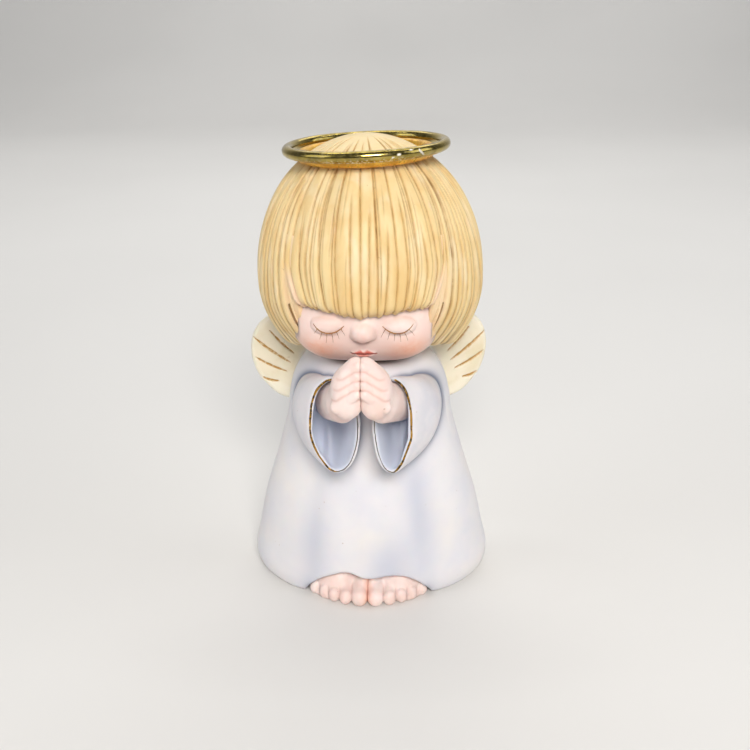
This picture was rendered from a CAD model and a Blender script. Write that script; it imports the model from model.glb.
import math

import bpy
import numpy as np
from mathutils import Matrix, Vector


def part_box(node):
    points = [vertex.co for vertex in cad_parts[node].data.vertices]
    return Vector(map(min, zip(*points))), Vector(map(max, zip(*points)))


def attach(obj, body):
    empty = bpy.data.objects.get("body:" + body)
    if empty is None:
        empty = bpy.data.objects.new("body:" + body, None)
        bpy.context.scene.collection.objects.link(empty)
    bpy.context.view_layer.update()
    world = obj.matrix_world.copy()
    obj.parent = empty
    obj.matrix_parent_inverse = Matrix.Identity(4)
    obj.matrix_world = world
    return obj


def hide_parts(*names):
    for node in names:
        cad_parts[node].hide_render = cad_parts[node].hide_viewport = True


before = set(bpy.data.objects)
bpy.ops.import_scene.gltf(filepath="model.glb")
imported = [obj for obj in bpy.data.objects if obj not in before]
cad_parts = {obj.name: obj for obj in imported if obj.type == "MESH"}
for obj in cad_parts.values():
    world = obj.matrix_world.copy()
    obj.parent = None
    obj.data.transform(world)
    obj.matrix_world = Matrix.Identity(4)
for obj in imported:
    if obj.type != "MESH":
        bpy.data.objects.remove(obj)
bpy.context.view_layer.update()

import openvdb
from mathutils import Matrix, Vector
from mathutils.bvhtree import BVHTree

mm = 0.001
rng = np.random.default_rng(7)
print("frame loaded")


# Distances below are in millimetres in the frame's own axes: +Z up, the angel faces -Y.
def boxOf(node):
    low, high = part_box(node)
    return np.array(low) / mm, np.array(high) / mm


def ramp(value, start, end):
    t = np.clip((value - start) / (end - start), 0.0, 1.0)
    return t * t * (3.0 - 2.0 * t)


def bell(value, centre, reach):
    return np.exp(-(((value - centre) / reach) ** 2))


def blob(points, centre, reach):
    off = (points - np.array(centre)) / np.array(reach)
    return np.exp(-(off**2).sum(-1))


def curve(knots, at):
    # smooth curve through (place, value) knots
    knots = np.array(knots, float)
    places, values = knots[:, 0], knots[:, 1]
    slopes = np.gradient(values, places)
    i = np.clip(np.searchsorted(places, at) - 1, 0, len(places) - 2)
    step = places[i + 1] - places[i]
    t = np.clip((at - places[i]) / step, 0.0, 1.0)
    a = values[i] * (1 + 2 * t) * (1 - t) ** 2 + slopes[i] * step * t * (1 - t) ** 2
    b = values[i + 1] * (3 - 2 * t) * t**2 - slopes[i + 1] * step * (1 - t) * t**2
    return a + b


# Solid shapes as distance fields: negative inside, positive outside.
def ball(points, centre, radii):
    off = points - np.array(centre, np.float32)
    radii = np.array(radii, np.float32)
    near = np.sqrt(((off / radii) ** 2).sum(-1))
    steep = np.sqrt(((off / radii**2) ** 2).sum(-1))
    return near * (near - 1.0) / np.maximum(steep, 1e-6)


def limb(points, start, end, startRadius, endRadius):
    start = np.array(start, np.float32)
    along = np.array(end, np.float32) - start
    off = points - start
    share = np.clip(off @ along / (along @ along), 0.0, 1.0)
    away = np.sqrt(((off - share[:, None] * along) ** 2).sum(-1))
    return away - (startRadius + share * (endRadius - startRadius))


def join(a, b, softness):
    h = np.clip(0.5 + 0.5 * (b - a) / softness, 0.0, 1.0)
    return b + (a - b) * h - softness * h * (1.0 - h)


def carveOut(a, b, softness):
    return -join(-a, b, softness)


def fieldMesh(name, low, high, step, field):
    axes = [np.arange(low[i], high[i] + step, step, dtype=np.float32) for i in range(3)]
    grid = np.stack(np.meshgrid(*axes, indexing="ij"), -1)
    values = field(grid.reshape(-1, 3)).reshape(grid.shape[:3]).astype(np.float32)
    volume = openvdb.FloatGrid(10.0)
    volume.copyFromArray(values)
    points, quads = volume.convertToQuads(0.0)
    points = np.array(low) + points.astype(float) * step
    for again in range(2):  # settle the points on the exact surface
        here = field(points)
        slope = np.stack([(field(points + np.eye(3)[i] * 0.02) - here) / 0.02 for i in range(3)], -1)
        shift = slope * (here / np.maximum((slope**2).sum(-1), 0.05))[:, None]
        points -= np.clip(shift, -step, step)
    return meshObject(name, points, quads)


def meshObject(name, points, faces):
    mesh = bpy.data.meshes.new(name)
    mesh.from_pydata((np.array(points, float) * mm).tolist(), [], [list(map(int, f)) for f in faces])
    mesh.polygons.foreach_set("use_smooth", [True] * len(mesh.polygons))
    mesh.validate()
    mesh.update()
    obj = bpy.data.objects.new(name, mesh)
    bpy.context.scene.collection.objects.link(obj)
    return obj


def pointsOf(obj):
    co = np.zeros(len(obj.data.vertices) * 3)
    obj.data.vertices.foreach_get("co", co)
    return co.reshape(-1, 3) / mm


def paint(obj, layer, values):
    attribute = obj.data.attributes.new(layer, "FLOAT", "POINT")
    attribute.data.foreach_set("value", np.clip(values, 0.0, 1.0).astype(np.float32))


def treeOf(obj):
    return BVHTree.FromPolygons(
        [v.co[:] for v in obj.data.vertices], [p.vertices[:] for p in obj.data.polygons]
    )


def settle(piece, slot, *nodes):
    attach(piece, "root")
    if nodes:
        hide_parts(*nodes)
    return piece


def color(code):
    # a paint colour written as its six digits, as the linear values that the shader takes
    parts = [int(code[i:i + 2], 16) / 255 for i in (0, 2, 4)]
    return tuple(c / 12.92 if c <= 0.04045 else ((c + 0.055) / 1.055) ** 2.4 for c in parts)


# Node graphs: a small builder, so that each finish below reads as a list of steps.
class Finish:
    def __init__(self, name, code, roughness, **constants):
        self.material = bpy.data.materials.new(name)
        self.material.use_nodes = True
        self.nodes = self.material.node_tree.nodes
        self.links = self.material.node_tree.links
        self.shader = self.nodes["Principled BSDF"]
        self.base = (*color(code), 1.0)
        self.shader.inputs["Base Color"].default_value = self.base
        self.shader.inputs["Roughness"].default_value = roughness
        for name, value in constants.items():
            self.shader.inputs[name.replace("_", " ")].default_value = value
        self.color = None
        self.place = self.nodes.new("ShaderNodeTexCoord").outputs["Object"]

    def add(self, kind, **values):
        node = self.nodes.new("ShaderNode" + kind)
        for name, value in values.items():
            if hasattr(node, name):
                setattr(node, name, value)
        return node

    def feed(self, node, socket, value):
        if hasattr(value, "links"):
            self.links.new(value, node.inputs[socket])
        else:
            node.inputs[socket].default_value = value

    def layer(self, name):
        return self.add("Attribute", attribute_name=name, attribute_type="GEOMETRY").outputs["Fac"]

    def noise(self, size, detail=3.0, roughness=0.5, stretch=None):
        # cloudy value from 0 to 1 with features about size millimetres across
        node = self.add("TexNoise")
        place = self.place
        if stretch:
            mapping = self.add("Mapping")
            self.links.new(place, mapping.inputs["Vector"])
            mapping.inputs["Scale"].default_value = stretch
            place = mapping.outputs["Vector"]
        self.links.new(place, node.inputs["Vector"])
        node.inputs["Scale"].default_value = 1.0 / (size * mm)
        node.inputs["Detail"].default_value = detail
        node.inputs["Roughness"].default_value = roughness
        return node.outputs["Fac"]

    def math(self, operation, a, b=0.5, c=0.5):
        node = self.add("Math", operation=operation)
        for i, value in enumerate((a, b, c)):
            self.feed(node, i, value)
        return node.outputs[0]

    def between(self, value, low, high, newLow=0.0, newHigh=1.0):
        node = self.add("MapRange")
        node.interpolation_type = "SMOOTHSTEP"
        ends = {"From Min": low, "From Max": high, "To Min": newLow, "To Max": newHigh}
        for socket, number in ends.items():
            node.inputs[socket].default_value = number
        self.links.new(value, node.inputs["Value"])
        return node.outputs["Result"]

    def tint(self, code, amount):
        # paints another colour over what is there, where amount says
        node = self.add("Mix", data_type="RGBA")
        self.feed(node, 0, amount)
        if self.color is None:
            node.inputs[6].default_value = self.base
        else:
            self.links.new(self.color, node.inputs[6])
        node.inputs[7].default_value = (*color(code), 1.0)
        self.color = node.outputs[2]
        self.links.new(self.color, self.shader.inputs["Base Color"])

    def mottle(self, code, low, high, size, detail, roughness, stretch=None):
        # a colour laid in soft patches about size millimetres across, from low up to high in the cloud
        self.tint(code, self.between(self.noise(size, detail, roughness, stretch), low, high))

    def brush(self, code, layer, amount):
        # a colour laid where a painted layer of the mesh says
        self.tint(code, self.math("MULTIPLY", self.layer(layer), amount))

    def rough(self, value):
        self.links.new(value, self.shader.inputs["Roughness"])

    def patchy(self, low, high, size, detail, roughness=0.5):
        # the surface's roughness drifts between low and high
        self.rough(self.between(self.noise(size, detail, roughness), 0.3, 0.7, low, high))

    def bump(self, height, strength, depth):
        # depth in millimetres; each call stacks on the last
        node = self.add("Bump")
        node.inputs["Strength"].default_value = strength
        node.inputs["Distance"].default_value = depth * mm
        self.feed(node, "Height", height)
        before = self.shader.inputs["Normal"].links
        if before:
            self.links.new(before[0].from_socket, node.inputs["Normal"])
        self.links.new(node.outputs["Normal"], self.shader.inputs["Normal"])


# The frame's boxes, which every piece below is placed from.
robeLow, robeHigh = boxOf("robe_body")
haloLow, haloHigh = boxOf("halo_ring")
hairHigh = boxOf("hair_cap")[1]
headLow = boxOf("head_casting")[0]
wingLow = boxOf("wing_left")[0]
browLine = robeHigh[2] + 21.0  # the hair and the skull are widest here


robe = {
    "halfWidths": [(-6, 32.2), (0, 33.0), (4, 34.0), (12, 32.6), (22, 30.4), (38, 25.5), (48, 22.8),
                   (54, 22.0), (59.5, 20.5), (63.5, 18.2), (66.5, 15.4), (69.5, 9.0)],
    "halfDepths": [(-6, 23.8), (0, 24.4), (4, 25.2), (12, 24.2), (22, 22.8), (38, 19.6), (48, 17.8),
                   (54, 17.2), (59.5, 16.6), (63.5, 15.6), (66.5, 13.6), (69.5, 9.0)],
    # the opening over the feet: across, and how high the hem stands there
    "arch": [(-19, -3.0), (-17.2, 1.6), (-14.5, 5.2), (-10, 7.9), (-5.6, 9.0), (-0.5, 7.7), (6, 8.2),
             (11.5, 7.3), (15.2, 4.4), (17.2, 1.6), (19, -3.0)],
    "archBack": 13.0, "edge": 2.4, "ventRadius": 4.5, "ventPlace": 9.0, "ventDepth": 12.0,
    # soft folds: degrees from the front, half width in degrees and depth
    "folds": [(-38, 7, 0.55), (-14, 8, 0.35), (17, 7, 0.40), (40, 8, 0.60), (95, 14, 0.5), (-100, 14, 0.5),
              (150, 12, 0.6), (-152, 12, 0.6), (180, 9, 0.5)],
    "foldsFade": (22, 46), "shoulder": ((13.5, 6.6, 52.5), (7.5, 9.0, 56.0), 4.2, 2.0),
    # airbrushed shadow: degrees from the front, half width, height and half height
    "airbrush": [(-36, 11, 16, 14), (36, 11, 26, 17), (14, 13, 10, 9), (120, 18, 20, 22), (-120, 18, 20, 22),
                 (172, 12, 26, 20)],
    "low": (-36, -27, -1.2), "high": (36, 27, 68.4), "grid": 0.5,
}


def robeField(p):
    x, y, z = p[:, 0], p[:, 1], p[:, 2]
    turn = np.degrees(np.arctan2(x, -y))
    dent = 0.0
    for place, reach, depth in robe["folds"]:
        off = (turn - place + 180) % 360 - 180
        dent = dent + depth * bell(off, 0, reach) - 0.5 * depth * bell(off, 0, 2.2 * reach)
    dent = dent * (1 - ramp(z, *robe["foldsFade"]))
    a = curve(robe["halfWidths"], z) - dent
    b = curve(robe["halfDepths"], z) - dent
    near = np.sqrt((x / a) ** 2 + (y / b) ** 2)
    steep = np.sqrt((x / a**2) ** 2 + (y / b**2) ** 2)
    body = near * (near - 1.0) / np.maximum(steep, 1e-3)
    body = -join(-body, z - robeLow[2], robe["edge"])
    body = -join(-body, robeHigh[2] + 2.2 - z, 2.0)
    for sign in (-1, 1):  # the shoulder runs out towards the wing
        start, (past, *end), *radii = robe["shoulder"]
        start = (sign * start[0], *start[1:])
        body = join(body, limb(p, start, (sign * (wingLow[0] + past), *end), *radii), 3.0)
    arch = np.maximum(z - curve(robe["arch"], x), y + robe["archBack"])
    body = carveOut(body, arch * 0.8, 1.0)
    vent = np.sqrt(x**2 + (y - robe["ventPlace"]) ** 2) - robe["ventRadius"]
    return carveOut(body, np.maximum(vent, z - robe["ventDepth"]), 0.8)


sleeve = {
    "centreX": [(6, 11.0), (0.8, 12.3), (-11.2, 13.5), (-21.8, 11.4), (-30.2, 7.1), (-34, 5.2)],
    "centreZ": [(6, 57.0), (0.8, 56.6), (-11.2, 55.0), (-21.8, 55.5), (-30.2, 56.9), (-34, 57.4)],
    "halfWidths": [(6, 4.4), (0.8, 5.2), (-11.2, 6.2), (-21.8, 6.6), (-30.2, 6.1), (-34, 5.6)],
    "halfHeights": [(6, 4.4), (0.8, 5.4), (-11.2, 8.0), (-21.8, 11.4), (-30.2, 13.3), (-34, 13.9)],
    "pinch": {1: 0.22, -1: 0.0},  # how much narrower each cuff is at its mouth
    "mouth": -30.4, "turn": 0.20, "wall": 1.3, "depth": 12.0, "narrow": 0.08,
    "low": (1.5, -35.2, 42.5), "high": (22.5, 4.5, 72), "grid": 0.36,
}


def knotted(knots, at):
    # the knots run forward, towards -Y
    return curve([(-place, value) for place, value in knots], -at)


def sleeveSection(p, shrink, sign):
    x, y, z = p[:, 0], p[:, 1], p[:, 2]
    cx, cz = knotted(sleeve["centreX"], y), knotted(sleeve["centreZ"], y)
    a = knotted(sleeve["halfWidths"], y) * (1 - sleeve["pinch"][sign] * ramp(-y, 20, 31)) - shrink
    c = knotted(sleeve["halfHeights"], y) - shrink
    down = np.clip((cz - z) / c, 0, 1.3)
    a = a * (1 - sleeve["narrow"] * down**2 * ramp(-y, 8, 26))
    near = np.sqrt(((x - cx) / a) ** 2 + ((z - cz) / c) ** 2)
    steep = np.sqrt(((x - cx) / a**2) ** 2 + ((z - cz) / c**2) ** 2)
    return near * (near - 1.0) / np.maximum(steep, 0.02)


def sleeveMouth(p):
    # where the cuff ends, a little wavy and turned outwards
    outwards = p[:, 0] - sleeve["centreX"][4][1]
    return sleeve["mouth"] + sleeve["turn"] * outwards + 0.2 * np.sin(p[:, 2] * 0.5)


def sleeveField(p, sign):
    p = p * np.array([sign, 1, 1], p.dtype)
    mouth = sleeveMouth(p)
    outer = sleeveSection(p, 0.0, sign)
    outer = -join(-outer, p[:, 1] - mouth, 0.9)
    outer = -join(-outer, 2.0 - p[:, 1], 3.0)
    inner = sleeveSection(p, sleeve["wall"], sign)
    inner = -join(-inner, mouth + sleeve["depth"] - p[:, 1], 5.0)
    crease = 0.45 * bell(p[:, 0] - 10.3 - 0.10 * (p[:, 2] - 52), 0, 0.8) * (1 - ramp(p[:, 2], 55, 60))
    return carveOut(outer, inner + crease, 0.7)


hand = {
    "palm": ((3.15, -36.2, 69.3), (4.2, 4.7, 6.0)), "heel": ((3.3, -37.6, 66.8), (3.4, 4.1, 4.2)),
    "top": ((1.1, -37.0, 73.4), (3.2, 2.9, 4.5)), "thumb": ((1.6, -32.6, 69.0), (1.2, -33.2, 74.2), 1.9, 1.4),
    "wrist": ((8.6, -21.5, 60.0), (4.8, -33.6, 65.0), 4.1, 4.0), "tall": 0.76,
    "fingers": 4, "firstTip": (0.60, -38.6, 76.1), "step": (0.16, -0.72, -2.0), "reach": (3.9, 1.0, -3.1),
    "fat": (1.30, 1.60), "low": (-0.3, -43.5, 55), "high": (18, -12.5, 79.5), "grid": 0.2,
}


def fingerLine(i):
    tip = np.array(hand["firstTip"]) + i * np.array(hand["step"])
    return tip, tip + np.array(hand["reach"]) * (0.75 + 0.13 * i)


def fingerReach(p):
    return np.stack([limb(p, *fingerLine(i), *hand["fat"]) for i in range(hand["fingers"])])


def handField(p, sign):
    p = p * np.array([sign, 1, 1], p.dtype)
    shape = join(ball(p, *hand["palm"]), ball(p, *hand["heel"]), 1.5)
    shape = join(shape, ball(p, *hand["top"]), 2.0)
    for i in range(hand["fingers"]):
        tip, knuckle = fingerLine(i)
        shape = join(shape, limb(p, tip, knuckle, *hand["fat"]), 0.28)
        crook = tip + (knuckle - tip) * 0.48 + np.array([0, -1.2, 0.2])
        shape = shape + 0.10 * blob(p, crook, (0.35, 1.2, 1.0))
    shape = join(shape, limb(p, *hand["thumb"]), 0.6)
    start, end, *radii = hand["wrist"]
    upright = np.array([1, 1, hand["tall"]], p.dtype)  # the forearm is taller than it is wide
    shape = join(shape, limb(p * upright, start * upright, end * upright, *radii), 1.8)
    return -join(-shape, p[:, 0] - 0.02, 0.14)


foot = {
    "ball": ((8.6, -13.6, 0.0), (8.5, 10.6, 10.4)), "instep": ((1.4, -16.0, 0.0), (3.2, 9.0, 8.2)),
    "toeEdges": [0.0, 4.35, 7.7, 10.8, 13.5, 16.3], "front": -27.5, "bow": 7.0,
    "low": (-0.3, -28.5, -0.4), "high": (18.5, -1.5, 11.6), "grid": 0.28,
}


def footField(p, sign):
    p = p * np.array([sign, 1, 1], p.dtype)
    shape = join(ball(p, *foot["ball"]), ball(p, *foot["instep"]), 1.5)
    edges = foot["toeEdges"]
    for i in range(5):
        middle, half = (edges[i] + edges[i + 1]) / 2, (edges[i + 1] - edges[i]) / 2
        back = foot["bow"] * (middle / edges[-1]) ** 2
        high = 2.15 if i else 2.4
        tip = (middle, foot["front"] + back + half, high * 0.92)
        root = (middle * 0.94 + 0.5, foot["front"] + 9.0 + back * 0.4, 3.9)
        shape = join(shape, limb(p, root, tip, half * 1.06, half * 1.04), 0.55)
        pad = ball(p, (middle, foot["front"] + back + half, high * 0.9), (half * 1.03, half * 1.1, high))
        shape = join(shape, pad, 0.25)
    shape = -join(-shape, p[:, 2] - 0.02, 0.5)
    return -join(-shape, p[:, 0] - 0.01, 0.12)


wing = {
    "origin": (14.3, 9.8, 51.5), "sweep": {1: 21.0, -1: 2.0}, "lobe": (7.6, 9.3), "lobeRadius": 12.6,
    "rootRadius": 6.4, "underLobe": ((7.4, 3.4), 8.9), "halfThick": 1.7, "grid": 0.3,
    # quill lines: start, end and greatest half width
    "quills": [((14.1, 16.2), (7.3, 9.3), 0.30), ((18.9, 14.1), (8.6, 6.5), 0.42),
               ((18.7, 8.0), (9.7, 3.7), 0.36), ((16.9, 1.8), (12.2, 0.7), 0.40)],
    "low": (7, 4.5, 43), "high": (36.5, 23, 75.5),
}


def wingPlane(p, sign):
    x = p[:, 0] * sign - wing["origin"][0]
    y = p[:, 1] - wing["origin"][1]
    sweep = math.radians(wing["sweep"][sign])
    c, s = math.cos(sweep), math.sin(sweep)
    return x * c + y * s, -x * s + y * c, p[:, 2] - wing["origin"][2]


def quillReach(across, up):
    # how far each point lies outside the nearest quill line, in half widths
    best = np.full(across.shape, 9.0)
    for k, (start, end, half) in enumerate(wing["quills"]):
        start, end = np.array(start), np.array(end)
        along = end - start
        length = np.linalg.norm(along)
        t = ((across - start[0]) * along[0] + (up - start[1]) * along[1]) / length**2
        bend = 0.35 * np.sin(math.pi * np.clip(t, 0, 1))
        off = ((across - start[0]) * -along[1] + (up - start[1]) * along[0]) / length - bend
        width = half * np.clip(np.sin(math.pi * np.clip(t * 0.96 + 0.02, 0, 1)), 0.003, 1) ** 0.5
        width = width * (1 + 0.10 * np.sin(t * 23 + 2 * k) + 0.06 * np.sin(t * 41 + k))
        past = np.maximum(np.maximum(-t, t - 1), 0) * length * 6
        best = np.minimum(best, np.sqrt((off / width) ** 2 + past**2))
    return best


def wingField(p, sign):
    across, through, up = wingPlane(p, sign)
    flat = np.stack([across, np.zeros_like(across), up], -1).astype(np.float32)
    lobe = wing["lobe"]
    outline = limb(flat, (0, 0, 0), (lobe[0], 0, lobe[1]), wing["rootRadius"], wing["lobeRadius"])
    under, radius = wing["underLobe"]
    outline = join(outline, np.sqrt((across - under[0]) ** 2 + (up - under[1]) ** 2) - radius, 2.5)
    outline = outline + 0.25 * np.sin(np.arctan2(up - 6, across - 4) * 5 + 1.0)
    cup = 0.5 * np.exp(-(((across - 8) / 9) ** 2 + ((up - 9) / 9) ** 2))
    plate = np.abs(through + cup * 0.6) - (wing["halfThick"] - cup * 0.5)
    inside = np.minimum(np.maximum(outline + 1.4, plate + 1.4), 0)
    outside = np.sqrt(np.maximum(outline + 1.4, 0) ** 2 + np.maximum(plate + 1.4, 0) ** 2)
    shape = inside + outside - 1.4
    mark = np.exp(-(np.minimum(quillReach(across, up), 4) ** 2))
    return shape + mark * np.where(through < 0, 0.42, 0.32)


face = {
    "shallow": 1.29,  # the skull is this much flatter below the brow
    "skull": ((0, 0, browLine), (23.4, 25.3, 28.6)), "jaw": ((0, -4.0, 80.5), (18.5, 19.9, 11.9)),
    "cheek": ((8.1, -11.8, 79.1), (11.0, 12.4, 10.3)), "chin": ((0, -15.4, 76.6), (9.9, 8.4, 6.4)),
    "nose": ((0, -25.35, 79.6), (2.75, 2.55, 2.55)), "bridge": ((0, -23.9, 80.4), (0, -23.0, 85.5), 1.8, 1.0),
    "nostril": ((1.95, -24.7, 78.75), (1.25, 1.5, 1.15)),
    "nostrilDent": ((1.15, -26.1, 77.25), (0.65, 1.2, 0.45)),
    "eye": (8.35, 80.7), "eyeHalf": 3.75, "lid": (4.5, 2.7, 2.7), "mouth": 73.3, "neck": 9.4,
    "blush": ((11.3, -21.0, 73.9), (5.6, 7, 3.9)), "noseBlush": ((0, -27, 79.0), (2.6, 2.5, 2.2)),
    "low": (-22, -28.5, 59.4), "high": (22, 26.6, 116.4), "grid": 0.3,
}


def headBase(p):
    centre, radii = face["skull"]
    q = p.copy()
    q[:, 2] = centre[2] + (p[:, 2] - centre[2]) * np.where(p[:, 2] < centre[2], face["shallow"], 1.0)
    shape = ball(q, centre, radii)
    mirror = p * np.array([-1, 1, 1], p.dtype)
    centre, radii = face["cheek"]
    cheeks = join(ball(p, centre, radii), ball(mirror, centre, radii), 3.0)
    shape = join(shape, join(cheeks, ball(p, *face["jaw"]), 2.5), 5.0)
    return join(shape, ball(p, *face["chin"]), 3.0)


def faceFront(x, z):
    # where the plain face lies at x, z: the features are set on it
    y = -np.linspace(12.0, 30.0, 400)
    line = np.stack([np.full_like(y, x), y, np.full_like(y, z)], -1)
    return float(y[headBase(line) < 0][-1])


def headField(p):
    shape = headBase(p)
    mirror = p * np.array([-1, 1, 1], p.dtype)
    eyeX, eyeZ = face["eye"]
    depth = faceFront(eyeX, eyeZ)
    for q in (p, mirror):
        off = q - np.array([eyeX, depth, eyeZ], q.dtype)
        socket = blob(q, (eyeX - 0.3, depth, eyeZ + 0.6), (5.6, 5.0, 4.4))
        shape = shape + 0.55 * socket
        lid = ball(q, (eyeX, depth + 1.55, eyeZ + 0.35), face["lid"])
        shape = join(shape, lid, 0.5)
        # the lids meet in a low arc: a fine step under the upper lid
        arc = lidLine(np.clip(off[:, 0] / face["eyeHalf"], -1, 1))
        under = bell(off[:, 2], arc - 0.28, 0.34)
        under = under * ramp(-np.abs(off[:, 0]), -face["eyeHalf"], 0.8 - face["eyeHalf"])
        shape = shape + 0.12 * under * bell(off[:, 1], 0, 5)
    shape = join(shape, ball(p, *face["nose"]), 0.9)
    shape = join(shape, limb(p, *face["bridge"]), 2.2)
    for q in (p, mirror):
        shape = join(shape, ball(q, *face["nostril"]), 0.6)
        shape = shape + 0.30 * blob(q, *face["nostrilDent"])
    # lips: a bow above, a fuller roll below, and the fine line where they meet
    mouthZ = face["mouth"]
    mouthY = faceFront(0, mouthZ)
    x = p[:, 0]
    meet = mouthZ + 0.10 * np.cos(x * 1.7) + 0.10 * (x / 3.0) ** 2
    taper = np.sqrt(np.clip(1 - (x / 3.2) ** 2, 0, 1))
    bow = 0.78 * taper * (1 - 0.42 * bell(x, 0, 0.5) + 0.30 * bell(np.abs(x), 0.95, 0.6))
    close = bell(p[:, 1], mouthY, 3.0)
    upper = bell(p[:, 2], meet + bow * 0.75, 0.55) * taper
    lower = bell(p[:, 2], meet - 0.62 * taper, 0.60) * np.clip(1 - (x / 2.5) ** 2, 0, 1)
    seam = bell(p[:, 2], meet, 0.20) * (np.abs(x) < 3.3)
    shape = shape - close * (0.55 * upper + 0.60 * lower - 0.38 * seam)
    neck = limb(p, (0, -0.5, 61), (0, -1, 76), face["neck"], face["neck"])
    shape = join(shape, -join(-neck, p[:, 2] - headLow[2], 0.8), 3.0)
    return shape


def lidLine(t):
    # height of the closed lid's edge over the eye's centre, from corner -1 to corner 1
    return -1.2 + (1.95 + 0.25 * t) * np.abs(t) ** 2.1


def onSurface(tree, x, z):
    # the front of a piece at x, z
    place = tree.ray_cast(Vector((x * mm, -0.08, z * mm)), Vector((0, 1, 0)))[0]
    return np.array(place) / mm


def strand(name, path, radii, sides=8, flat=1.0, ribs=0.0):
    # a tapered tube along a path, closed at both ends
    path = np.array(path, float)
    along = np.gradient(path, axis=0)
    along /= np.linalg.norm(along, axis=1, keepdims=True)
    side = np.cross(along, (0, -1, 0.2))
    side /= np.linalg.norm(side, axis=1, keepdims=True)
    up = np.cross(side, along)
    turn = np.linspace(0, 2 * math.pi, sides, endpoint=False)
    radii = np.array(radii)[:, None, None] * (1 - ribs * np.abs(np.cos(3 * turn)) ** 6)[None, :, None]
    ring = path[:, None] + radii * (np.cos(turn)[None, :, None] * side[:, None]
                                    + flat * np.sin(turn)[None, :, None] * up[:, None])
    points = np.concatenate([ring.reshape(-1, 3), path[:1], path[-1:]])
    count = len(path)
    faces = []
    for i in range(count - 1):
        for k in range(sides):
            j = (k + 1) % sides
            faces.append((i * sides + k, (i + 1) * sides + k, (i + 1) * sides + j, i * sides + j))
    for k in range(sides):
        j = (k + 1) % sides
        faces.append((count * sides, k, j))
        faces.append((count * sides + 1, (count - 1) * sides + j, (count - 1) * sides + k))
    return meshObject(name, points, faces)


halo = {
    "tube": 1.38, "inset": 1.42,  # the ring's half thickness, and how far its middle lies inside the box
    "seatRadius": 16.0, "seatTube": 1.45, "seatDrop": 1.5,
    "leanLeft": 2.2, "leanFront": 1.2,  # degrees: it was set on by hand
    "ring": {"count": 420, "sides": 48, "wander": 0.10, "swell": 0.02, "back": 0.0},
    "seat": {"count": 360, "sides": 36, "wander": 0.14, "swell": 0.06, "back": -0.5},
    # chips where the white casting shows: degrees from the front, below the middle, and half sizes
    "chips": [(24, -0.2, 1.4, 0.35), (20, 0.35, 0.8, 0.25), (33, -0.9, 1.6, 0.2)],
}


def haloLean(x, y):
    # a little up at the front and at the angel's left
    return x * math.sin(math.radians(halo["leanLeft"])) - y * math.sin(math.radians(halo["leanFront"]))


def ringTube(name, radius, tube, height, settings):
    # a hand-shaped ring: its tube and its line both wander a little
    count, sides = settings["count"], settings["sides"]
    turn = np.linspace(0, 2 * math.pi, count, endpoint=False)[:, None]
    roundIt = np.linspace(0, 2 * math.pi, sides, endpoint=False)[None, :]
    waves = ((2, 0.4), (3, 2.0), (5, 1.1))
    wander = sum(settings["wander"] * np.sin(k * turn + phase) / k for k, phase in waves)
    beat = np.sin(3 * turn + 1) + 0.6 * np.sin(7 * turn) + 0.4 * np.sin(13 * turn + 2)
    swell = 1 + settings["swell"] * beat / 2
    r = radius + wander + tube * swell * np.cos(roundIt)
    x, y = r * np.sin(turn), settings["back"] - r * np.cos(turn)
    z = height + wander * 0.6 + tube * swell * np.sin(roundIt) + haloLean(x, y)
    points = np.stack([x, y, z], -1).reshape(-1, 3)
    faces = []
    for i in range(count):
        for k in range(sides):
            a, b = ((i + 1) % count) * sides, (k + 1) % sides
            faces.append((i * sides + k, a + k, a + b, i * sides + b))
    return meshObject(name, points, faces)


hair = {
    "columns": 1080, "rows": 170, "rimRows": 6,
    "halfWidth": hairHigh[0] - 0.35, "halfDepth": hairHigh[1] - 0.15,
    "up": hairHigh[2] - browLine, "down": 29.0,
    "part": 46.0,  # where the fringe ends and the side locks begin, in degrees from the nose
    "fringeMiddle": 84.1, "fringeSide": 85.6, "gather": 7.5,
    "lockEnds": [(46, 70.8), (52, 69.8), (62, 68.8), (80, 68.0), (110, 67.4), (180, 67.2)],
    "fringeCords": 18, "backCords": 62, "scratches": 112, "shift": 0.55,
    "rimThick": 1.7, "lockThick": 2.6, "thick": 4.2,
}


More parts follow.
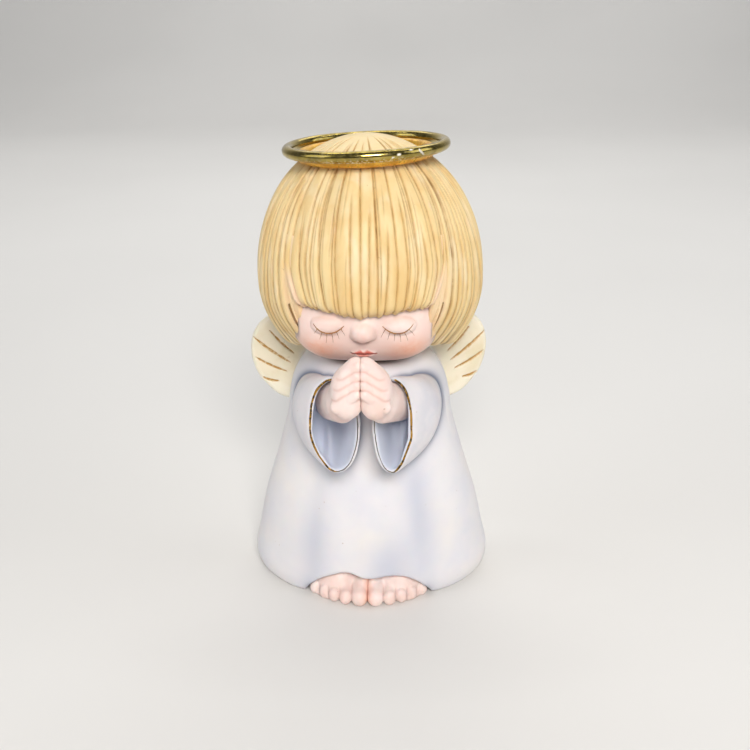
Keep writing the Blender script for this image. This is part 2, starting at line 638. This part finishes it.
def makeHair():
    columns, rows = hair["columns"], hair["rows"]
    s = np.linspace(-180, 180, columns, endpoint=False)[:, None] + 180 / columns
    u = np.linspace(0.0, 1.0, rows)[None, :]
    side, sign = np.abs(s), np.sign(s)
    fringe = side < hair["part"]
    fringeEnd = hair["fringeSide"] - (hair["fringeSide"] - hair["fringeMiddle"]) * bell(s, -1.0, 19.0)
    fringeEnd = fringeEnd + 0.22 * np.sin(np.radians(s) * 33) + 0.16 * np.sin(np.radians(s) * 71 + 1)
    lockEnd = curve(hair["lockEnds"], side) + 0.2 * np.sin(np.radians(s) * 41)
    end = np.where(fringe, fringeEnd, lockEnd)
    reach = np.where(end > browLine, hair["up"], hair["down"])
    endPolar = np.arccos(np.clip((end - browLine) / reach, -1, 1))
    polar = u * endPolar
    degrees = np.degrees(polar)
    z = browLine + np.cos(polar) * np.where(polar < math.pi / 2, hair["up"], hair["down"])
    ring = np.sin(polar)
    share = np.clip(side / hair["part"], 0, 1)
    both = 3.5 * bell(side, 50, 26) * ramp(degrees, 45, 90)
    gather = np.where(fringe, hair["gather"] * share**1.4 * ramp(degrees, 74, 96), 0.0)
    drop = np.where(fringe, 0.0, 4.2 * bell(side, 46, 18) * ramp(degrees, 74, 112))
    turn = np.radians((side - both - gather - drop) * sign)
    a, b = hair["halfWidth"], hair["halfDepth"]
    mmPerDegree = np.maximum(ring, 0.04) * a * math.pi / 180
    flow = u[0]
    around = s[:, 0] % 360

    # cords: the rounded locks between the main grooves
    front = np.linspace(-42.5, 42.5, hair["fringeCords"])
    back = np.linspace(50, 310, hair["backCords"])
    cordAt = np.concatenate([front % 360, back, [46.0, 314.0]])
    loose = rng.uniform(-1.0, 1.0, len(cordAt))
    loose[:hair["fringeCords"]] *= 1.9
    loose[-2:] = 0
    wander = rng.uniform(-1.6, 1.6, (len(cordAt), 2))
    wander[-2:] = 0
    starts = rng.uniform(0.02, 0.34, len(cordAt))
    starts[1:hair["fringeCords"]:2] += 0.34
    cord = np.zeros((columns, rows))
    main = np.zeros((columns, rows))
    for j, here in enumerate(flow):
        line = cordAt + loose + wander[:, 0] * math.sin(3.3 * here + 0.4)
        line = line + wander[:, 1] * math.sin(8.1 * here) * 0.5
        order = np.argsort(line)
        line, began = line[order], starts[order]
        line = np.concatenate([[line[-1] - 360], line, [line[0] + 360]])
        began = np.concatenate([[began[-1]], began, [began[0]]])
        k = np.clip(np.searchsorted(line, around), 1, len(line) - 1)
        gap = np.maximum(line[k] - line[k - 1], 0.3)
        t = np.clip((around - line[k - 1]) / gap, 0, 1)
        away = np.minimum(t, 1 - t) * gap * mmPerDegree[:, j]
        nearer = np.where(t < 0.5, began[k - 1], began[k])
        shown = ramp(here, nearer, nearer + 0.14)
        cord[:, j] = (1 - (4 * t * (1 - t)) ** 0.45) * shown
        main[:, j] = np.exp(-((away / 0.19) ** 1.6)) * shown
    scratch = np.zeros((columns, rows))
    for i in range(hair["scratches"]):
        at, begin, finish = rng.uniform(0, 360), rng.uniform(0.10, 0.75), rng.uniform(0.55, 1.2)
        drift = rng.uniform(-2.0, 2.0, 2)
        line = at + drift[0] * flow + drift[1] * np.sin(5 * flow) * 0.5
        away = np.abs((around[:, None] - line[None, :] + 180) % 360 - 180) * mmPerDegree
        fade = ramp(flow, begin, begin + 0.10) * (1 - ramp(flow, finish - 0.1, finish))
        scratch += np.exp(-((away / 0.16) ** 1.6)) * fade[None, :] * rng.uniform(0.45, 1.0)
    scratch = np.clip(scratch, 0, 1)
    sideways = ramp(side, 24, 70)
    swell = 0.22 * np.sin(np.radians(s) * 8 + 0.7 + 2.5 * u) + 0.16 * np.sin(np.radians(s) * 17 - 3 * u)
    relief = -(0.50 + 0.45 * sideways) * cord - (0.20 + 0.12 * sideways) * main - 0.17 * scratch
    relief = relief + swell * ramp(u, 0.1, 0.4)

    # the ends round over and tuck in, and the side locks hug the cheeks
    left = (1 - u) * endPolar * 29
    tuck = np.where(fringe, 1.9, 2.6) * (1 - np.sqrt(np.clip(1 - (1 - np.clip(left / 3.2, 0, 1)) ** 2, 0, 1)))
    hug = np.where(fringe, 0.0, 3.4 * bell(side, 44, 26) * ramp(degrees, 92, 128))
    lift = relief - tuck - hug
    tilt = np.stack([np.sin(polar) / a, np.cos(polar) / hair["up"]], -1)
    tilt /= np.linalg.norm(tilt, axis=-1, keepdims=True)

    def spot(raised):
        x = (a * ring + raised * tilt[..., 0]) * np.sin(turn) + hair["shift"] * ring
        y = -(b * ring + raised * tilt[..., 0]) * np.cos(turn)
        return np.stack([x, y, z + raised * tilt[..., 1]], -1)

    outer = spot(lift)
    rimThick = hair["rimThick"] + np.where(fringe, 0.0, hair["lockThick"] * bell(side, 46, 22))
    inner = spot(lift - rimThick - np.maximum(hair["thick"] - rimThick, 0.0) * ramp(left, 0.0, 7.0))
    rim = []
    for k in range(1, hair["rimRows"]):
        bend = k / hair["rimRows"] * math.pi
        middle, half = (outer[:, -1] + inner[:, -1]) / 2, (outer[:, -1] - inner[:, -1]) / 2
        rim.append(middle + half * math.cos(bend) - np.array([0, 0, 0.75 * math.sin(bend)]))
    # the pole is one point on each skin, so the first row is left to two fans
    loops = np.concatenate([outer[:, 1:], np.stack(rim, 1), inner[:, :0:-1]], 1)
    total = loops.shape[1]
    points = np.concatenate([loops.reshape(-1, 3), outer[:1, 0], inner[:1, 0]])
    slit = int(np.searchsorted(np.degrees(flow * endPolar[columns // 2, 0]), 70.0))
    faces = []
    top, bottom = columns * total, columns * total + 1
    for c in range(columns):
        d = (c + 1) % columns
        parted = bool(fringe[c, 0]) != bool(fringe[d, 0])
        for j in range(total - 1):
            if not (parted and slit <= j < total - 1 - slit):
                faces.append((c * total + j, c * total + j + 1, d * total + j + 1, d * total + j))
        faces.append((top, c * total, d * total))
        faces.append((bottom, d * total + total - 1, c * total + total - 1))
        if parted:
            far = total - 1 - slit
            faces.append((c * total + slit, c * total + far, d * total + far, d * total + slit))
            for edge, turned in ((c, True), (d, False)):
                for j in range(slit, (total - 1) // 2):
                    loop = [edge * total + k for k in (j, j + 1, total - 2 - j, total - 1 - j)]
                    loop = list(dict.fromkeys(loop))
                    if len(loop) > 2:
                        faces.append(loop[::-1] if turned else loop)
    obj = meshObject("hairCap", points, faces)

    def spread(values, rest=0.0):
        full = np.full((columns, total), rest)
        full[:, :rows - 1] = np.broadcast_to(values, (columns, rows))[:, 1:]
        full[:, rows - 1:] = full[:, rows - 2:rows - 1]
        return np.concatenate([full.reshape(-1), [0, 0]])

    parting = 1 - 0.85 * bell(side, 47.2, 2.8) * ramp(degrees, 70, 84)
    paint(obj, "groove", spread((main * (0.6 + 0.4 * sideways) + scratch * 0.75) * parting))
    paint(obj, "valley", spread(cord))
    paint(obj, "sideways", spread(sideways))
    paint(obj, "ends", spread(ramp(u, 0.5, 1.0)))
    paint(obj, "temple", spread(bell(side, 44.0, 2.6) * ramp(degrees, 74, 86)))
    paint(obj, "crown", spread(1 - ramp(ring, 0.42, 0.62)))
    return obj


# Paints and finishes.
def castingSkin(finish, grain=0.35):
    # what every casting here shares: fine grain, soft hand polish and the odd speck
    finish.bump(finish.noise(grain, 4.0, 0.6), 0.25, 0.03)
    finish.bump(finish.noise(6.0, 2.0, 0.4), 0.3, 0.08)
    specks = finish.between(finish.noise(0.8, 1.0, 0.3), 0.80, 0.83)
    finish.tint("A08060", finish.math("MULTIPLY", specks, 0.45))
    return finish


def robeWhite():
    f = Finish("robeWhite", "E8E5E6", 0.6, Subsurface_Weight=0.08, Subsurface_Scale=0.0012)
    f.mottle("DFDEE3", 0.35, 0.70, 16.0, 3.0, 0.55)
    f.mottle("ECE7E3", 0.35, 0.85, 12.0, 2.0, 0.5)
    f.brush("B4BACD", "airbrush", 0.75)
    f.brush("566078", "crease", 0.9)
    f.brush("4A4030", "collar", 0.9)
    f.patchy(0.52, 0.66, 2.5, 3.0)
    return castingSkin(f).material


def sleeveWhite():
    f = Finish("sleeveWhite", "E8E4E6", 0.58, Subsurface_Weight=0.08, Subsurface_Scale=0.0012)
    f.mottle("DAD9DF", 0.35, 0.70, 9.0, 3.0, 0.55)
    f.brush("CBD3E4", "inside", 0.8)
    f.brush("5C6376", "crease", 0.85)
    f.patchy(0.50, 0.64, 2.5, 3.0)
    return castingSkin(f).material


def skinTone():
    f = Finish("skinTone", "F0D7CE", 0.50, Subsurface_Weight=0.15, Subsurface_Scale=0.0015)
    f.shader.inputs["Subsurface Radius"].default_value = (1.0, 0.35, 0.25)
    f.mottle("F7E4DD", 0.42, 0.68, 7.0, 3.0, 0.5)
    stipple = f.between(f.noise(1.1, 4.0, 0.6), 0.15, 0.9, 0.6, 1.0)
    f.tint("F0AC8A", f.math("MULTIPLY", f.layer("blush"), stipple))
    f.brush("C9A79F", "shade", 0.85)
    f.brush("D66A58", "lips", 0.95)
    f.brush("8E2E26", "lipSeam", 0.8)
    f.brush("5A4632", "crease", 0.8)
    f.patchy(0.42, 0.56, 2.0, 3.0)
    return castingSkin(f, 0.28).material


def hairBlond():
    f = Finish("hairBlond", "EBD29B", 0.50, Subsurface_Weight=0.06, Subsurface_Scale=0.001)
    f.mottle("E3C183", 0.38, 0.70, 8.0, 3.0, 0.5, (1.4, 1.4, 0.5))
    f.mottle("EFDBB0", 0.48, 0.76, 7.0, 2.0, 0.5, (1.4, 1.4, 0.5))
    rosy = f.between(f.noise(4.0, 2.0, 0.5, (1.5, 1.5, 0.3)), 0.64, 0.78)
    f.tint("EAD0B4", f.math("MULTIPLY", rosy, 0.45))
    f.brush("E9D3A2", "crown", 0.7)
    wash = f.between(f.noise(3.0, 3.0, 0.6), 0.30, 0.68, 0.55, 1.0)
    f.tint("D2A458", f.math("MULTIPLY", f.math("MULTIPLY", f.layer("valley"), 0.55), wash))
    f.tint("8F6326", f.math("MULTIPLY", f.math("MULTIPLY", f.layer("groove"), 0.92), wash))
    dark = f.math("MULTIPLY", f.math("MULTIPLY", f.layer("groove"), f.layer("sideways")), f.layer("ends"))
    f.tint("5C3F20", f.math("MULTIPLY", dark, 0.8))
    f.brush("EBCDB6", "temple", 0.75)
    f.patchy(0.46, 0.60, 2.0, 3.0)
    return castingSkin(f, 0.3).material


def wingCream():
    f = Finish("wingCream", "EDE3CA", 0.55, Subsurface_Weight=0.08, Subsurface_Scale=0.001)
    f.mottle("E4D7B6", 0.40, 0.68, 8.0, 3.0, 0.55)
    f.brush("F3ECD8", "rim", 0.7)
    f.brush("E8E2DE", "root", 0.9)
    worn = f.between(f.noise(0.9, 3.0, 0.6), 0.30, 0.55, 0.55, 1.0)
    f.tint("B4863C", f.math("MULTIPLY", f.layer("quill"), worn))
    f.brush("6E6A66", "crease", 0.6)
    f.patchy(0.48, 0.62, 2.0, 3.0)
    return castingSkin(f).material


def giltRing():
    f = Finish("giltRing", "BBA555", 0.14, Metallic=1.0)
    f.mottle("8F7D3E", 0.35, 0.65, 5.0, 3.0, 0.6)
    f.mottle("E0CF94", 0.64, 0.76, 0.9, 4.0, 0.7)
    rubbed = f.math("MULTIPLY", f.layer("worn"), f.between(f.noise(0.55, 3.0, 0.7), 0.50, 0.60))
    f.tint("E8E2CC", rubbed)
    f.tint("F0EDE4", f.layer("chip"))
    bare = f.math("MAXIMUM", rubbed, f.layer("chip"))
    f.rough(f.math("MULTIPLY_ADD", bare, 0.4, f.between(f.noise(1.4, 4.0, 0.6), 0.3, 0.7, 0.10, 0.22)))
    f.links.new(f.math("SUBTRACT", 1.0, bare), f.shader.inputs["Metallic"])
    f.bump(f.noise(1.6, 3.0, 0.6), 0.15, 0.04)
    return f.material


def giltSeat():
    f = Finish("giltSeat", "EFBE4E", 0.30, Metallic=0.5)
    f.mottle("CB9230", 0.38, 0.66, 3.0, 3.0, 0.6)
    f.mottle("F0C455", 0.60, 0.74, 1.2, 3.0, 0.6)
    f.patchy(0.24, 0.42, 1.5, 3.0, 0.6)
    f.bump(f.noise(0.8, 3.0, 0.6), 0.3, 0.05)
    return f.material


def giltLine():
    f = Finish("giltLine", "B98C3A", 0.32, Metallic=0.85)
    f.mottle("4A3A22", 0.46, 0.58, 1.0, 3.0, 0.7)
    f.mottle("EBCB80", 0.60, 0.70, 0.6, 2.0, 0.6)
    f.brush("55504E", "inner", 0.9)
    f.patchy(0.26, 0.5, 0.8, 3.0, 0.6)
    f.bump(f.noise(0.4, 3.0, 0.6), 0.4, 0.05)
    return f.material


def lashBrown():
    f = Finish("lashBrown", "B07A40", 0.55)
    f.mottle("7A5236", 0.46, 0.62, 1.2, 2.0, 0.6)
    f.mottle("C08A55", 0.60, 0.72, 0.7, 2.0, 0.6)
    f.bump(f.noise(0.3, 2.0, 0.6), 0.3, 0.03)
    return f.material


def paleFloor():
    f = Finish("paleFloor", "E2E0DC", 0.7)
    f.mottle("DCDAD6", 0.35, 0.70, 500.0, 3.0, 0.5)
    f.bump(f.noise(1.5, 3.0, 0.6), 0.15, 0.03)
    return f.material


hairPaint, skinPaint, sleevePaint = hairBlond(), skinTone(), sleeveWhite()
wingPaint, giltLinePaint, lashPaint = wingCream(), giltLine(), lashBrown()


def dress(piece, material):
    piece.data.materials.append(material)
    return piece


# Hair and head.
temple = {
    # strands in the gap at each temple: degrees from the nose, how far down they run, half thickness
    "strands": [(39.5, 104, 1.6), (42.0, 117, 1.6), (44.2, 114, 1.5)],
    "count": 40, "start": 66, "sunk": 0.060, "sides": 30, "flat": 0.8, "ribs": 0.14, "paint": 0.55,
}
hairCap = settle(dress(makeHair(), hairPaint), "hair_blond", "hair_cap")
for sign, name in ((1, "Left"), (-1, "Right")):
    for k, (azimuth, lowest, fat) in enumerate(temple["strands"]):
        share = np.linspace(0, 1, temple["count"])
        polar = np.radians(np.linspace(temple["start"], lowest, temple["count"]))
        slant = np.radians(azimuth - 2.5 * share**2)
        out = np.sin(polar) - temple["sunk"] - 0.05 * share**2
        x = sign * hair["halfWidth"] * out * np.sin(slant) + hair["shift"] * out
        y = -hair["halfDepth"] * out * np.cos(slant)
        z = browLine + np.cos(polar) * np.where(polar < math.pi / 2, hair["up"], hair["down"])
        fade = fat * (1 - 0.65 * share**3)
        lock = strand(f"templeLock{name}{k}", np.stack([x, y, z], -1), fade, temple["sides"], temple["flat"],
                      temple["ribs"])
        paint(lock, "temple", np.full(len(lock.data.vertices), temple["paint"]))
        settle(dress(lock, hairPaint), "hair_blond")
print("hair", len(hairCap.data.polygons))

headFace = fieldMesh("headFace", face["low"], face["high"], face["grid"], headField)
settle(dress(headFace, skinPaint), "skin", "head_casting")
p = pointsOf(headFace)
front = p[:, 1] < -8
halfFace = np.stack([np.abs(p[:, 0]), p[:, 1], p[:, 2]], -1)  # both halves are painted alike
paint(headFace, "blush", (blob(halfFace, *face["blush"]) + 0.22 * blob(p, *face["noseBlush"])) * front)
eyeX, eyeZ = face["eye"]
flatFace = halfFace[:, (0, 2)]
shade = 0.30 * blob(flatFace, (eyeX - 0.5, eyeZ + 2.6), (4.6, 1.2))
shade += 0.55 * blob(flatFace, (0.9, 76.9), (1.7, 0.5))
shade += 0.40 * blob(flatFace, (2.9, 79.0), (0.6, 1.5))
shade += 0.35 * ramp(p[:, 2], 83.0, 86.0) + 0.25 * ramp(-p[:, 2], -73.0, -69.5)
paint(headFace, "shade", shade * front)
x, z = p[:, 0], p[:, 2] - face["mouth"]
halfLip = np.clip(1 - (x / 3.15) ** 2, 0, 1)
bow = 1 - 0.45 * bell(x, 0, 0.5) + 0.2 * bell(np.abs(x), 0.95, 0.6)
upper = ramp(0.2 + 1.15 * halfLip * bow - z, 0.0, 0.3) * ramp(z, -0.15, 0.05)
lower = ramp(z + 1.15 * np.clip(1 - (x / 2.3) ** 2, 0, 1), 0.0, 0.35) * (z < 0.05)
atMouth = p[:, 1] < -20
paint(headFace, "lips", np.maximum(upper, 0.75 * lower) * (halfLip > 0.01) * atMouth)
paint(headFace, "lipSeam", bell(z - 0.12 - 0.1 * (x / 3.0) ** 2, 0, 0.20) * (np.abs(x) < 3.35) * atMouth)
hairTree = treeOf(hairCap)
edge = np.full(len(p), 9.0)
for i in np.flatnonzero(front & (p[:, 2] > 68) & (p[:, 2] < 90)):
    edge[i] = (hairTree.find_nearest(Vector(p[i] * mm), 0.003)[3] or 0.009) / mm
paint(headFace, "crease", (0.75 * bell(edge, 0, 0.55)
                           + 0.75 * bell(robeField(p), 0, 0.8)) * (p[:, 2] < 90))
print("head", len(p))

lashes = {
    "places": (-0.78, -0.48, -0.18, 0.12, 0.42, 0.72),  # along the lid, from -1 at its inner corner to 1
    "length": 3.0, "half": (0.095, 0.03), "count": 9, "lidCount": 41,
}
faceTree = treeOf(headFace)
for sign, name in ((1, "Left"), (-1, "Right")):
    t = np.linspace(-1, 1, lashes["lidCount"])
    path = [onSurface(faceTree, sign * (eyeX + face["eyeHalf"] * q), eyeZ + lidLine(q)) for q in t]
    lid = strand("lidLine" + name, path, 0.06 + 0.17 * (1 - np.abs(t) ** 2.5) ** 0.8, flat=0.7)
    settle(dress(lid, lashPaint), "skin")
    for k, q in enumerate(lashes["places"]):
        base = np.array([eyeX + face["eyeHalf"] * q, eyeZ + lidLine(q)])
        lean = (q + 0.05) * 0.85
        reach = lashes["length"] - 0.7 * abs(q) + 0.35 * math.sin(5 * k + sign)
        way = np.array([math.sin(lean * 0.75), -math.cos(lean * 0.75)])
        path = [onSurface(faceTree, sign * (base[0] + way[0] * w), base[1] + way[1] * w)
                for w in np.linspace(0, reach, lashes["count"])]
        lash = strand(f"lash{name}{k}", path, np.linspace(*lashes["half"], lashes["count"]), 6, 0.7)
        settle(dress(lash, lashPaint), "skin")
print("lashes")

# Halo and its seat.
haloMiddle = (haloLow[2] + haloHigh[2]) / 2
haloRing = ringTube("haloRing", haloHigh[0] - halo["inset"], halo["tube"], haloMiddle, halo["ring"])
settle(dress(haloRing, giltRing()), "halo_gold", "halo_ring")
p = pointsOf(haloRing)
turn = np.degrees(np.arctan2(p[:, 0], -p[:, 1]))
low = haloMiddle + haloLean(p[:, 0], p[:, 1]) - p[:, 2]
paint(haloRing, "worn", 0.75 * ramp(low, 0.3, 1.1) * bell(turn, 4, 38) + 0.12)
chip = ramp(bell(turn - 1.6 * np.sin(low * 2.2), 41, 0.9) * bell(low, -0.1, 0.9), 0.35, 0.6)
for place, below, wide, tall in halo["chips"]:
    chip = np.maximum(chip, ramp(bell(turn, place, wide) * bell(low, below, tall), 0.4, 0.6))
paint(haloRing, "chip", chip)
seatMiddle = haloMiddle - halo["seatDrop"]
haloSeat = ringTube("haloSeat", halo["seatRadius"], halo["seatTube"], seatMiddle, halo["seat"])
settle(dress(haloSeat, giltSeat()), "halo_gold")
print("halo")

# Robe.
robeGown = fieldMesh("robeGown", robe["low"], robe["high"], robe["grid"], robeField)
settle(dress(robeGown, robeWhite()), "robe_white", "robe_body")
p = pointsOf(robeGown)
near = np.full(len(p), 9.0)
for sign in (-1, 1):
    for field in (footField, wingField):
        near = np.minimum(near, np.abs(field(p, sign)))
    # the painted line round each sleeve lies behind and below it where the sleeve stands off the robe
    ahead = np.array([0, -0.92, 0.39])
    covered = np.min([sleeveField(p + ahead * reach, sign) for reach in (0, 1.5, 3, 4.5, 6, 8, 10, 12)], 0)
    near = np.minimum(near, np.where(p[:, 1] < -6, np.abs(covered), np.abs(sleeveField(p, sign))))
paint(robeGown, "crease", np.exp(-((near / 0.9) ** 1.5)))
paint(robeGown, "collar", bell(headField(p), 0, 1.1) * ramp(-p[:, 1], -4, 6))
turn = np.degrees(np.arctan2(p[:, 0], -p[:, 1]))
brushed = 0.0
for place, reach, high, tall in robe["airbrush"]:
    brushed = brushed + bell((turn - place + 180) % 360 - 180, 0, reach) * bell(p[:, 2], high, tall)
paint(robeGown, "airbrush", 0.75 * brushed + 0.35 * bell(near, 0, 3.0))
print("robe", len(p))

# Sleeves, cuffs, hands, wings and feet, once for each side.
cuff = {"steps": 120, "sides": 10, "flat": 0.85, "thin": 0.15, "thicker": 0.17}
for sign, name in ((1, "Left"), (-1, "Right")):
    other = "_" + name.lower()

    def sided(field):
        return lambda q: field(q, sign)

    def corners(settings):
        (x, *low), (farX, *high) = settings["low"], settings["high"]
        return (min(sign * x, sign * farX), *low), (max(sign * x, sign * farX), *high)

    piece = fieldMesh("sleeve" + name, *corners(sleeve), sleeve["grid"], sided(sleeveField))
    settle(dress(piece, sleevePaint), "robe_white", "sleeve" + other)
    p = pointsOf(piece)
    q = p * np.array([sign, 1, 1])
    hollow = sleeveSection(q, sleeve["wall"] * 0.6, sign)
    paint(piece, "inside", ramp(-hollow, 0.0, 0.5) * (q[:, 1] < -16))
    touch = np.minimum(np.abs(robeField(p)), np.abs(handField(p, sign)))
    paint(piece, "crease", 0.95 * np.exp(-((touch / 0.75) ** 1.5)))

    # the gilt line follows the crest of the cuff's lip, found as its foremost points all round
    steps = cuff["steps"]
    centre = sleeve["centreX"][4][1], sleeve["centreZ"][4][1]
    turn = np.arctan2((q[:, 2] - centre[1]) / 2.0, q[:, 0] - centre[0])
    fore = q[:, 1] - sleeveMouth(q)
    lip = np.flatnonzero(fore < 0.9)
    place = ((turn[lip] + math.pi) / (2 * math.pi) * steps).astype(int) % steps
    weight = np.exp(-fore[lip] * 6)
    path = np.stack([np.bincount(place, weight * p[lip, k], steps) for k in range(3)], -1)
    path /= np.bincount(place, weight, steps)[:, None]
    for again in range(3):
        path = (np.roll(path, 1, 0) + 2 * path + np.roll(path, -1, 0)) / 4
    path = np.roll(path, -steps * 3 // 4, 0)
    path = np.concatenate([path, path[:1]])
    around = math.pi / 2 + np.linspace(0, 2 * math.pi, steps + 1)
    outerSide = ramp(np.cos(around), -0.25, 0.2)
    thick = cuff["thin"] + cuff["thicker"] * outerSide * (0.85 + 0.15 * np.sin(around * 9))
    line = strand("cuffGold" + name, path, thick, cuff["sides"], cuff["flat"])
    paint(line, "inner", np.concatenate([np.repeat(1 - outerSide, cuff["sides"]), [0, 0]]))
    settle(dress(line, giltLinePaint), "halo_gold")

    piece = fieldMesh("hand" + name, *corners(hand), hand["grid"], sided(handField))
    settle(dress(piece, skinPaint), "skin", "hand" + other)
    p = pointsOf(piece)
    q = p * np.array([sign, 1, 1])
    seam = bell(q[:, 0], 0, 0.35)
    reach = fingerReach(q)
    gaps = sum(bell(reach[i], reach[i + 1], 0.30) for i in range(hand["fingers"] - 1))
    gaps = gaps * ramp(-reach.min(0), -0.9, -0.3) * (q[:, 1] < -36)
    inCuff = bell(sleeveField(p, sign), 0, 1.2)
    shade = 0.12 * seam + 0.40 * gaps + 0.15 * ramp(-q[:, 2], -66, -61) + 0.15 * inCuff
    paint(piece, "shade", shade)
    paint(piece, "blush", 0.18 * blob(q, (4.5, -39, 66), (3.5, 4, 3)) + 0.35 * gaps)
    paint(piece, "crease", 0.25 * bell(sleeveField(p, sign), 0, 0.4))

    piece = fieldMesh("wing" + name, *corners(wing), wing["grid"], sided(wingField))
    settle(dress(piece, wingPaint), "wing_cream", "wing" + other)
    p = pointsOf(piece)
    across, through, up = wingPlane(p, sign)
    paint(piece, "quill", ramp(-quillReach(across, up), -1.25, -0.75) * np.where(through < 0, 1.0, 0.75))
    out = limb(np.stack([across, 0 * across, up], -1), (0, 0, 0), (wing["lobe"][0], 0, wing["lobe"][1]),
               wing["rootRadius"], wing["lobeRadius"])
    paint(piece, "rim", ramp(out, -2.2, -0.4))
    paint(piece, "root", 1 - ramp(robeField(p), 0.2, 3.0))
    paint(piece, "crease", 0.35 * bell(robeField(p), 0, 0.5))

    piece = fieldMesh("foot" + name, *corners(foot), foot["grid"], sided(footField))
    settle(dress(piece, skinPaint), "skin", "foot" + other)
    p = pointsOf(piece)
    q = p * np.array([sign, 1, 1])
    between = sum(bell(q[:, 0], x, 0.28) for x in foot["toeEdges"][1:5])
    between = between * ramp(-q[:, 1], 20, 23) * ramp(-q[:, 2], -4.6, -3.4)
    paint(piece, "shade", 0.8 * between + 0.15 * bell(q[:, 0], 0, 0.6) + 0.3 * ramp(-q[:, 2], -1.2, 0))
    paint(piece, "blush", 0.12 * ramp(-q[:, 1], 22, 26) + 0.6 * bell(q[:, 0], 0, 1.2) * (q[:, 1] < -20))
    paint(piece, "crease", 0.6 * bell(robeField(p), 0, 0.5) + 0.4 * bell(q[:, 2], 0, 0.35))
    print("side", name)


# Floor, light and camera.
def areaLight(name, place, target, size, power, shade):
    data = bpy.data.lights.new(name, "AREA")
    data.shape, data.size, data.size_y = "RECTANGLE", size[0], size[1]
    data.energy, data.color = power, shade
    lamp = bpy.data.objects.new(name, data)
    lamp.location = place
    lamp.rotation_euler = (Vector(target) - Vector(place)).to_track_quat("-Z", "Y").to_euler()
    bpy.context.scene.collection.objects.link(lamp)


# a floor that sweeps up behind in one bend
bend = np.linspace(0, math.pi / 2, 25)
profile = [(-3.0, 0.0)] + [(0.9 + 0.7 * math.sin(t), 0.7 - 0.7 * math.cos(t)) for t in bend] + [(1.6, 3.0)]
floorPoints = [(x / mm, y / mm, z / mm) for y, z in profile for x in (-4.0, 4.0)]
strips = [(2 * i, 2 * i + 1, 2 * i + 3, 2 * i + 2) for i in range(len(profile) - 1)]
floor = meshObject("paleFloor", floorPoints, strips)
dress(floor, paleFloor())

# place, target, size, watts and colour
lights = {
    "keyLight": ((0.10, -0.62, 0.52), (0, 0, 0.07), (0.30, 0.22), 5.0, (1.0, 0.97, 0.94)),
    "fillLeft": ((-0.75, -0.25, 0.45), (0, 0, 0.06), (0.5, 0.5), 1.5, (0.92, 0.95, 1.0)),
    "fillRight": ((0.75, -0.1, 0.45), (0, 0, 0.06), (0.5, 0.5), 1.3, (0.92, 0.95, 1.0)),
    "backLight": ((0.0, 0.6, 0.7), (0, 0, 0.09), (0.8, 0.4), 1.6, (1.0, 1.0, 1.0)),
    "wallWash": ((0.0, 0.3, 1.3), (0, 1.6, 0.5), (1.6, 0.4), 14.0, (1.0, 1.0, 1.0)),
}
for name, settings in lights.items():
    areaLight(name, *settings)
world = bpy.data.worlds.new("studio")
bpy.context.scene.world = world
world.use_nodes = True
background = world.node_tree.nodes["Background"]
background.inputs["Color"].default_value = (*color("7C7F86"), 1)
background.inputs["Strength"].default_value = 0.50

# metres and degrees
view = {
    "azimuth": 3.0, "away": 0.229, "height": 0.155, "down": 23.0, "yaw": -0.40, "roll": 0.65, "lens": 43.2,
    "film": 36.0,
}
cameraData = bpy.data.cameras.new("camera")
cameraData.lens, cameraData.sensor_width = view["lens"], view["film"]
cameraData.clip_start = 0.01
camera = bpy.data.objects.new("camera", cameraData)
azimuth = math.radians(view["azimuth"])
camera.location = (view["away"] * math.sin(azimuth), -view["away"] * math.cos(azimuth), view["height"])
heading = azimuth + math.radians(view["yaw"])
camera.rotation_mode = "XYZ"
down = math.radians(view["down"])
aim = Vector((-math.sin(heading) * math.cos(down), math.cos(heading) * math.cos(down), -math.sin(down)))
level = aim.to_track_quat("-Z", "Y").to_matrix()
camera.rotation_euler = (level @ Matrix.Rotation(math.radians(-view["roll"]), 3, "Z")).to_euler()
bpy.context.scene.collection.objects.link(camera)
bpy.context.scene.camera = camera
bpy.context.scene.view_settings.view_transform = "Standard"

print("stage")
